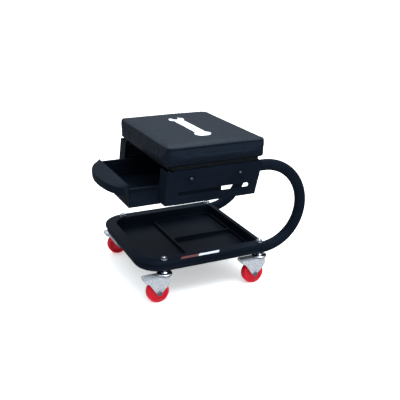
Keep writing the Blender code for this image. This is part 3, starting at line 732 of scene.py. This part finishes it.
# ---- fasteners and casters -------------------------------------------
def hex_nut(half_flats, height, bore):
    """Nut along +Z with chamfered corners."""
    corner = half_flats / math.cos(math.pi / 6)
    drop = (corner - half_flats) * 0.55
    outer = turned([(0, 0), (half_flats + 0.0002, 0), (corner, drop), (corner, height - drop),
                    (half_flats + 0.0002, height), (0, height)], 36)
    flats = rod(corner, (0, 0, -0.001), (0, 0, height + 0.001), 6)
    return combined(outer, cuts=[rod(bore, (0, 0, -0.01), (0, 0, height + 0.02), 28)], commons=[flats])


def threaded(radius, low, high, pitch, depth):
    """(radius, height) pairs of a thread's flanks, going down."""
    turns = int((high - low) / pitch)
    line = []
    for i in range(turns):
        line += [(radius - depth, high - i * pitch), (radius, high - (i + 0.5) * pitch)]
    return line + [(radius - depth, high - turns * pitch)]


STEM_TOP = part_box("caster_stem_left_near")[1].z


def stem_body():
    radius = 0.0049
    line = [(0, STEM_TOP), (radius - 0.0012, STEM_TOP), (radius - 0.0005, STEM_TOP - 0.0006)]
    line += threaded(radius, 0.118, STEM_TOP - 0.0012, 0.00125, 0.0006)
    line += [(radius, 0.117), (radius, 0.0870)]
    line += [(0.0102, 0.0870), (0.0110, 0.0862), (0.0110, 0.0850), (0.0118, 0.0843)]
    line += [(0.0180, 0.0838), (0.0205, 0.0828), (0.0218, 0.0812), (0.0220, 0.0796), (0.0216, 0.0786),
             (0.0210, 0.0784), (radius, 0.0784), (radius, 0.0710), (0.0080, 0.0710), (0.0085, 0.0705),
             (0.0083, 0.0692), (0.0070, 0.0684), (0, 0.0682)]
    return turned(line, 48)


def fork_body():
    """Pressed fork: crown, two V-shaped legs and a turned-down rear edge."""
    rear, top, sheet, half, trail, wheel_r = -0.061, 0.0760, 0.0024, 0.017, 0.022, 0.03175
    crown = [(rear, -0.014), (rear + 0.003, -half), (0.002, -half)] + arc(0.0005, 0, half, -65, 65, 22)
    crown += [(0.002, half), (rear + 0.003, half), (rear, 0.014)]
    leg = [(rear, 0.0745), (rear, 0.069), (-0.048, 0.060)] + arc(-trail, wheel_r, 0.0069, 205, 335, 14)
    leg += [(0.0055, 0.050), (0.012, 0.062), (0.011, 0.0745)]
    plate = prism(crown, top - sheet, top)
    legs = [prism(leg, *sorted((side * (half - sheet), side * half)), "y") for side in (-1, 1)]
    lip = prism(rounded((rear, rear + 0.0022), (-0.016, 0.016), (0.0004,) * 4, 2), 0.0675, 0.0745)
    bores = [rod(0.0053, (0, 0, 0.06), (0, 0, 0.09)),
             rod(0.0042, (-trail, -0.02, wheel_r), (-trail, 0.02, wheel_r))]
    made = combined(plate, joins=[*legs, lip], cuts=bores)
    return softened(cleaned(made), 0.0007, 3, 40)


def race_ring():
    """Chrome ring of the ball race, pressed up from the fork's crown."""
    line = [(0.0195, 0.0761), (0.0195, 0.0772), (0.0189, 0.0780), (0.0180, 0.0781), (0.0172, 0.0777),
            (0.0162, 0.0774), (0.0152, 0.0777), (0.0140, 0.0781), (0.0060, 0.0781), (0.0054, 0.0778),
            (0.0054, 0.0761)]
    return turned(line[::-1], 48)


def wheel_body():
    """Moulded wheel: crowned tread, dished side and hub; turned about +Z, then laid on its axle."""
    half = [(0.0063, 0.0126), (0.0068, 0.0131), (0.0090, 0.0132), (0.0097, 0.0128), (0.0101, 0.0100),
            (0.0108, 0.0090), (0.0118, 0.0086), (0.0205, 0.0086), (0.0217, 0.0089), (0.0226, 0.0098),
            (0.0234, 0.0111), (0.0244, 0.0117), (0.0262, 0.0118), (0.0280, 0.0116), (0.0296, 0.0108),
            (0.0308, 0.0092), (0.0315, 0.0070), (0.03175, 0.0040)]
    line = half + [(radius, -height) for radius, height in reversed(half)]
    return turned(line, 64, "Y")


def copies(mesh_of, kind, places, bodies, finish, node=None, angle=35):
    """One object a caster, all sharing the first one's mesh; node is the kind of CAD node they replace."""
    first = mesh_of()
    mesh = first.data
    bpy.data.objects.remove(first, do_unlink=True)
    for tag, at, body in zip(STEMS, places, bodies):
        made = bpy.data.objects.new(f"{kind}_{tag}", mesh)
        bpy.context.scene.collection.objects.link(made)
        made.location = at
        dressed(made, body, finish, [f"{node}_{tag}"] if node else (), angle)


def washer_body():
    return turned([(0.0053, 0.0003), (0.0056, 0), (0.0092, 0), (0.0095, 0.0003), (0.0095, 0.0014),
                   (0.0091, 0.0018), (0.0057, 0.0018), (0.0053, 0.0015)], 40)


def stem_nut_body():
    return hex_nut(0.0073, 0.0045, 0.0052)


def casters():
    stems = [Vector((stem.x, stem.y, 0)) for stem in STEMS.values()]
    axle_places = [middle(f"wheel_{tag}") for tag in STEMS]
    swivels = [f"swivel_{tag}" for tag in STEMS]
    rollers = [f"roller_{tag}" for tag in STEMS]
    fixed = ["frame"] * len(stems)

    def raised(node):
        return [stem + Vector((0, 0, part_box(node)[0].z)) for stem in stems]

    copies(fork_body, "fork_pressed", stems, swivels, "zinc", "caster_fork")
    copies(race_ring, "race_ring", stems, swivels, "chrome")
    copies(stem_body, "stem_threaded", stems, fixed, "chrome", "caster_stem")
    copies(wheel_body, "wheel_moulded", axle_places, rollers, "red", "wheel", 30)
    copies(stem_nut_body, "stem_thin_nut", raised("stem_nut_left_near"), fixed, "fastener", "stem_nut")
    copies(washer_body, "stem_washer_round", raised("stem_washer_left_near"), fixed, "fastener",
           "stem_washer")
    copies(axle_bolt_body, "axle_bolt_hex", axle_places, swivels, "fastener", "axle_bolt")
    copies(axle_nut_body, "axle_nut_hex", axle_places, swivels, "fastener", "axle_nut")


def axle_bolt_body():
    seat, radius = -0.0173, 0.0039
    head = hex_nut(0.0065, 0.005, 0.0001)
    head.data.transform(Matrix.Rotation(math.radians(90), 4, "X"))
    head.data.transform(Matrix.Translation((0, seat, 0)))
    line = [(0, 0.0236), (radius - 0.0008, 0.0236)] + threaded(radius, 0.0160, 0.0232, 0.00125, 0.0005)
    shank = turned(line + [(radius, 0.0155), (radius, seat - 0.001), (0, seat - 0.001)], 28)
    shank.data.transform(Matrix.Rotation(math.radians(-90), 4, "X"))
    return combined(head, joins=[shank])


def axle_nut_body():
    made = hex_nut(0.0065, 0.0050, 0.0042)
    made.data.transform(Matrix.Rotation(math.radians(-90), 4, "X"))
    made.data.transform(Matrix.Translation((0, 0.0173, 0)))
    return made


def panel_bolts():
    """Domed heads with a cross recess, seen on both side panels."""
    radius, end = 0.0030, -0.0463
    line = [(0, 0.0040), (0.0014, 0.00395), (0.0030, 0.0036), (0.0047, 0.0028), (0.0060, 0.0016),
            (0.0066, 0.0006), (0.0066, 0), (radius, 0), (radius, end), (0, end)]
    for where, x in zip(("left", "right"), SIDE_BOLTS):
        for word, side in (("near", -1), ("far", 1)):
            cross = [prism(rounded((-a, a), (-b, b), (0.0001,) * 4, 1), 0.0022, 0.0060)
                     for a, b in ((0.0031, 0.0006), (0.0006, 0.0031))]
            made = combined(turned(line, 36), cuts=cross)
            made.data.transform(Matrix.Rotation(math.radians(-90 * side), 4, "X"))
            made.data.transform(Matrix.Translation((x, side * (PANEL_Y + 0.0003), SIDE_BOLT_Z)))
            tag = f"{where}_{word}"
            piece(f"panel_bolt_domed_{tag}", made, "frame", "dark_bolt", [f"panel_bolt_{tag}"])


# ---- cushion ---------------------------------------------------------
PAD_X = middle("seat_cushion").x
PAD_FOOT_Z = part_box("seat_cushion")[0].z
PAD_HALF = (0.144, 0.1944)
PAD_FOOT = (0.1390, 0.1905)
SEAM_Z = 0.4265


def pad_half(z):
    """Half lengths of the unstuffed cover at a height: it leans in towards the board."""
    t = min(max((z - PAD_FOOT_Z) / (0.412 - PAD_FOOT_Z), 0), 1)
    ease = t * (2 - t)
    return [foot + (top - foot) * ease for foot, top in zip(PAD_FOOT, PAD_HALF)]


def pad_outline(inset, z):
    half_x, half_y = pad_half(z)
    corner = 0.013 - inset * 0.5
    across = (-half_x + inset, half_x - inset)
    along = (-half_y + inset, half_y - inset)
    return [(PAD_X + x, y) for x, y in rounded(across, along, (corner,) * 4, 7)]


def inflated(made, pressure, frames, cap):
    """Cloth under pressure; cap(point) limits how far each point may move. The result is on the mesh."""
    scene = bpy.context.scene
    start = [v.co.copy() for v in made.data.vertices]
    pins = made.vertex_groups.new(name="held")
    pins.add([v.index for v in made.data.vertices if cap(v.co) < 1e-6], 1.0, "REPLACE")
    cloth = made.modifiers.new("Cloth", "CLOTH")
    cloth.settings.quality = 6
    cloth.settings.mass = 0.25
    cloth.settings.tension_stiffness = 12
    cloth.settings.compression_stiffness = 12
    cloth.settings.shear_stiffness = 6
    cloth.settings.bending_stiffness = 0.6
    cloth.settings.use_pressure = True
    cloth.settings.uniform_pressure_force = pressure
    cloth.settings.vertex_group_mass = "held"
    cloth.settings.effector_weights.gravity = 0
    cloth.point_cache.frame_start = 1
    cloth.point_cache.frame_end = frames
    for number in range(1, frames + 1):
        scene.frame_set(number)
    graph = bpy.context.evaluated_depsgraph_get()
    moved = [v.co.copy() for v in made.evaluated_get(graph).data.vertices]
    made.modifiers.clear()
    made.vertex_groups.clear()
    scene.frame_set(1)
    for vertex, before, after in zip(made.data.vertices, start, moved):
        step, most = after - before, cap(before)
        if step.length > most:
            step = step.normalized() * most
        vertex.co = before + step


def seam_lines():
    """The near side panel's seam as a line of points: up the left corner, along the top edge, down."""
    half_x, half_y = PAD_HALF
    corner = 0.014
    foot_x, foot_y = PAD_FOOT
    left = [(-foot_x + 0.004, -foot_y + 0.003, PAD_FOOT_Z), (-half_x + 0.004, -half_y + 0.003, 0.405),
            (-half_x + 0.005, -half_y + 0.002, SEAM_Z - corner)]
    turn = [math.radians(22.5 * i) for i in range(1, 5)]
    roll = [(-half_x + 0.005 + corner * (1 - math.cos(a)), -half_y + 0.0015,
             SEAM_Z - corner + corner * math.sin(a)) for a in turn]
    half = [Vector(p) for p in left + roll]
    return half + [Vector((-p.x, p.y, p.z)) for p in reversed(half)]


def distance_to(line, point):
    """(distance, way along) from a point to an open line of points."""
    best, along, run = 1.0, 0.0, 0.0
    for a, b in zip(line, line[1:]):
        span = b - a
        t = min(max((point - a).dot(span) / span.length_squared, 0), 1)
        gap = (point - a - span * t).length
        if gap < best:
            best, along = gap, run + t * span.length
        run += span.length
    return best, along


# How far the near and far faces stand out of the cover's plane at a height: a seam groove under the top
# edge, a big roll, a waist and a small roll at the foot.
ROLL = ((0.3785, -0.0020), (0.3830, 0.0012), (0.3880, 0.0004), (0.3920, 0.0014), (0.4020, 0.0036),
        (0.4120, 0.0036), (0.4200, 0.0016), (0.4250, -0.0012), (0.4286, -0.0042), (0.4318, -0.0018),
        (0.4350, 0.0))
# The same on the left and right faces, which lean in at their foot.
LEAN = ((0.3785, -0.0085), (0.3840, -0.0040), (0.3920, -0.0014), (0.4050, 0.0004), (0.4200, 0.0010),
        (0.4290, 0.0002), (0.4350, 0.0))


def along_profile(profile, z):
    """Smooth value of a (height, reach) profile at a height."""
    if z <= profile[0][0]:
        return profile[0][1]
    for (low, start), (high, end) in zip(profile, profile[1:]):
        if z <= high:
            t = (z - low) / (high - low)
            return start + (end - start) * t * t * (3 - 2 * t)
    return profile[-1][1]


def seat_pad():
    """The stuffed cover: inflated, then pulled in along its seams and creased at its corners."""
    levels = [(PAD_FOOT_Z + 0.0002, 0.0022), (PAD_FOOT_Z + 0.0012, 0.0006)]
    levels += [(z, 0) for z in (0.385, 0.395, 0.405, 0.415, 0.4235)] + head_fillet(0.4322, 0.0030, 1, 4)
    rings = [[(x, y, z) for x, y in pad_outline(inset, z)] for z, inset in levels]
    made = stack(rings)
    remesh = made.modifiers.new("Remesh", "REMESH")
    remesh.mode = "VOXEL"
    remesh.voxel_size = 0.0035
    remesh.use_smooth_shade = True
    applied(made)
    seam = [Vector((PAD_X + p.x, p.y, p.z)) for p in seam_lines()]
    low_face = PAD_FOOT_Z + 0.0035

    def cap(point):
        if point.z < low_face:
            return 0.0
        side_gap = min(1.0, (point.z - low_face) / 0.012)
        away = distance_to(seam, Vector((point.x, -abs(point.y), point.z)))[0]
        stitched = min(1.0, max(0.0, (away - 0.002) / 0.016))
        return 0.0026 * side_gap * (0.12 + 0.88 * stitched)

    inflated(made, 4.0, 20, cap)
    smooth = made.modifiers.new("Subdivision", "SUBSURF")
    smooth.levels = smooth.render_levels = 1
    applied(made)
    shaped_cover(made, seam)
    made.name = "seat_pad_stuffed"
    made.data.name = made.name
    dressed(made, "frame", "vinyl", ["seat_cushion"], 180)


def shaped_cover(made, seam):
    """The side faces' rolls, seam grooves, puckers beside them, the top's crown and the corner creases."""
    normals = [v.normal.copy() for v in made.data.vertices]
    half_x, half_y = PAD_HALF
    for vertex, normal in zip(made.data.vertices, normals):
        point = vertex.co.copy()
        away, along = distance_to(seam, Vector((point.x, -abs(point.y), point.z)))
        u, v = (point.x - PAD_X) / half_x, point.y / half_y
        end_gap = half_x - abs(point.x - PAD_X)
        side_gap = half_y - abs(point.y)
        if point.z > PAD_FOOT_Z + 0.0005:
            near_roll = math.exp(-((max(side_gap, 0.0) / 0.010) ** 2))
            near_roll *= min(1.0, max(0.0, end_gap - 0.002) / 0.014)
            end_lean = math.exp(-((max(end_gap, 0.0) / 0.012) ** 2))
            vertex.co.y += math.copysign(along_profile(ROLL, point.z) * near_roll, point.y)
            vertex.co.x += math.copysign(along_profile(LEAN, point.z) * end_lean, u)
        shift = 0.0
        if point.z > PAD_FOOT_Z + 0.002:
            shift -= 0.0016 * math.exp(-((away / 0.0030) ** 2))
            pucker = math.sin(along * 520.0 + 2.0 * noise.noise(point * 40.0))
            shift += 0.00026 * pucker * math.exp(-((away - 0.006) / 0.006) ** 2)
            shift += 0.00045 * noise.noise(point * 28.0) * min(1.0, away / 0.02)
            if end_gap < 0.02 and point.z < 0.427:
                crease = abs(point.y) - (half_y - 0.021)
                shift -= 0.0013 * math.exp(-((crease / 0.0042) ** 2)) * min(1.0, (0.427 - point.z) / 0.02)
        vertex.co += normal * shift
        if normal.z > 0.3:
            crown = max(0.0, 1 - u * u) * max(0.0, 1 - v * v)
            vertex.co.z += 0.0024 * crown - 0.0026 * max(0.0, u) ** 2


def stitches():
    """A row of short thread loops along each side of the seat's top."""
    pitch, length, radius = 0.0052, 0.0034, 0.00036
    start = PAD_X - PAD_HALF[0] + 0.020
    count = int((2 * PAD_HALF[0] - 0.040) / pitch)
    for word, side in (("near", -1), ("far", 1)):
        bm = bmesh.new()
        for i in range(count):
            x = start + i * pitch
            at = surface_point(Vector((x, side * (PAD_HALF[1] - 0.004), 0.50)), Vector((0, 0, -1)))
            if at is None:
                continue
            lay = Matrix.Translation(at + Vector((0, 0, 0.0001))) @ Matrix.Rotation(math.radians(90), 4, "Y")
            lay @= Matrix.Diagonal((radius, radius, length / 2, 1))
            bmesh.ops.create_uvsphere(bm, u_segments=8, v_segments=6, radius=1.0, matrix=lay)
        made = as_object(bm, f"seat_stitches_{word}")
        dressed(made, "frame", "thread", (), 180)


def surface_point(origin, way):
    """Where a ray from origin meets the pad."""
    pad = bpy.data.objects["seat_pad_stuffed"]
    found, at, _, _ = pad.ray_cast(pad.matrix_world.inverted() @ origin, way)
    return pad.matrix_world @ at if found else None


def spanner_outline(length, across):
    """Generic spanner, the same at both ends: (along, across) points about its middle."""
    jaw = arc(0.5 * length - 0.55 * across, 0, 0.55 * across, 140, 28, 10)
    mouth = [(0.5 * length - 0.50 * across, 0.17 * across), (0.5 * length - 0.62 * across, 0)]
    half = [(0, 0.20 * across)] + jaw + mouth
    right = half + [(x, -y) for x, y in reversed(half[:-1])]
    return right[1:-1] + [(-x, -y) for x, y in right[1:-1]]


def seat_print():
    """White generic spanner printed along the middle of the seat's top."""
    centre_x, centre_y = row_x(0.0035), -0.006
    bm = bmesh.new()
    bm.faces.new([bm.verts.new((centre_x + across, centre_y + along, 0.0))
                  for along, across in spanner_outline(0.236, 0.042)])
    bmesh.ops.triangulate(bm, faces=bm.faces)
    for _ in range(3):
        long_edges = [e for e in bm.edges if e.calc_length() > 0.006]
        bmesh.ops.subdivide_edges(bm, edges=long_edges, cuts=1)
        bmesh.ops.triangulate(bm, faces=bm.faces)
    for vertex in bm.verts:
        found = surface_point(Vector((vertex.co.x, vertex.co.y, 0.50)), Vector((0, 0, -1)))
        vertex.co.z = found.z + 0.00035
    bmesh.ops.recalc_face_normals(bm, faces=bm.faces)
    if sum(face.normal.z for face in bm.faces) < 0:
        bmesh.ops.reverse_faces(bm, faces=bm.faces)
    made = loose_object(bm, "seat_print_spanner")
    thickened(made, 0.00025)
    applied(made)
    dressed(made, "frame", "white_ink", (), 60)


# ---- studio ----------------------------------------------------------
CAMERA_AZIMUTH, CAMERA_ELEVATION = -24.3, 19.6
CAMERA_DISTANCE, CAMERA_LENS = 1.9723, 59.1
CAMERA_TARGET = Vector((row_x(0.0409), 0.0, 0.2054))


SKY = (0.80, 0.90, 1.0)      # the lights and the sky are slightly blue


def away_from(target, azimuth, elevation, distance):
    a, e = math.radians(azimuth), math.radians(elevation)
    back = Vector((math.sin(a) * math.cos(e), -math.cos(a) * math.cos(e), math.sin(e)))
    return target + back * distance


def camera():
    made = bpy.data.objects.new("camera", bpy.data.cameras.new("camera"))
    bpy.context.scene.collection.objects.link(made)
    made.data.lens = CAMERA_LENS
    made.data.sensor_width = 36.0
    made.location = away_from(CAMERA_TARGET, CAMERA_AZIMUTH, CAMERA_ELEVATION, CAMERA_DISTANCE)
    made.rotation_euler = (made.location - CAMERA_TARGET).to_track_quat("Z", "Y").to_euler()
    bpy.context.scene.camera = made


def softbox(name, azimuth, elevation, distance, size, power):
    target = Vector((0, 0, 0.25))
    light = bpy.data.lights.new(name, "AREA")
    light.shape = "RECTANGLE"
    light.size, light.size_y = size
    light.energy = power
    light.color = SKY
    made = bpy.data.objects.new(name, light)
    bpy.context.scene.collection.objects.link(made)
    made.location = away_from(target, azimuth, elevation, distance)
    made.rotation_euler = (made.location - target).to_track_quat("Z", "Y").to_euler()


def world():
    """Pale studio sky, brightest overhead and darker towards the horizon."""
    made = bpy.data.worlds.new("studio")
    bpy.context.scene.world = made
    made.use_nodes = True
    tree = made.node_tree
    place = tree.nodes.new("ShaderNodeTexCoord")
    split = tree.nodes.new("ShaderNodeSeparateXYZ")
    ramp = tree.nodes.new("ShaderNodeMapRange")
    ramp.interpolation_type = "SMOOTHSTEP"
    for socket, number in (("From Min", 0.10), ("From Max", 0.95), ("To Min", 0.26), ("To Max", 1.9)):
        ramp.inputs[socket].default_value = number
    tree.links.new(place.outputs["Generated"], split.inputs["Vector"])
    tree.links.new(split.outputs["Z"], ramp.inputs["Value"])
    tree.links.new(ramp.outputs["Result"], tree.nodes["Background"].inputs["Strength"])
    tree.nodes["Background"].inputs["Color"].default_value = (*SKY, 1)


def studio():
    bm = bmesh.new()
    bmesh.ops.create_grid(bm, x_segments=8, y_segments=8, size=20.0)
    floor = as_object(bm, "studio_floor")
    floor.data.materials.append(floor_finish())
    floor.visible_glossy = False     # black faces would otherwise mirror the white floor
    softbox("key_front", 8, 60, 2.6, (1.8, 1.1), 42)
    softbox("strip_front", 24, 14, 2.5, (2.0, 0.26), 12)
    softbox("back_top", 160, 60, 2.6, (1.6, 1.2), 22)
    bpy.context.scene.view_settings.view_transform = "Standard"
    world()


# ---- carried-over CAD nodes ------------------------------------------
def carried_over():
    """CAD nodes that stay as they are take the same finishes."""
    finishes = (("seat_board", "board"), ("drawer_runner", "runner"), ("drawer_stop", "rubber"),
                ("tube_plug", "plug"), ("seat_bolt", "fastener"), ("panel_nut", "fastener"),
                ("axle_sleeve", "fastener"))
    for name, node in frame["nodes"].items():
        for start, finish in finishes:
            if name.startswith(start):
                node.data.materials.clear()
                node.data.materials.append(FINISHES[finish])


camera()
studio()
carried_over()
frame_tube()
tray()
tray_label()
side_panels()
drawer_box()
drawer_front()
casters()
panel_bolts()
seat_pad()
stitches()
seat_print()
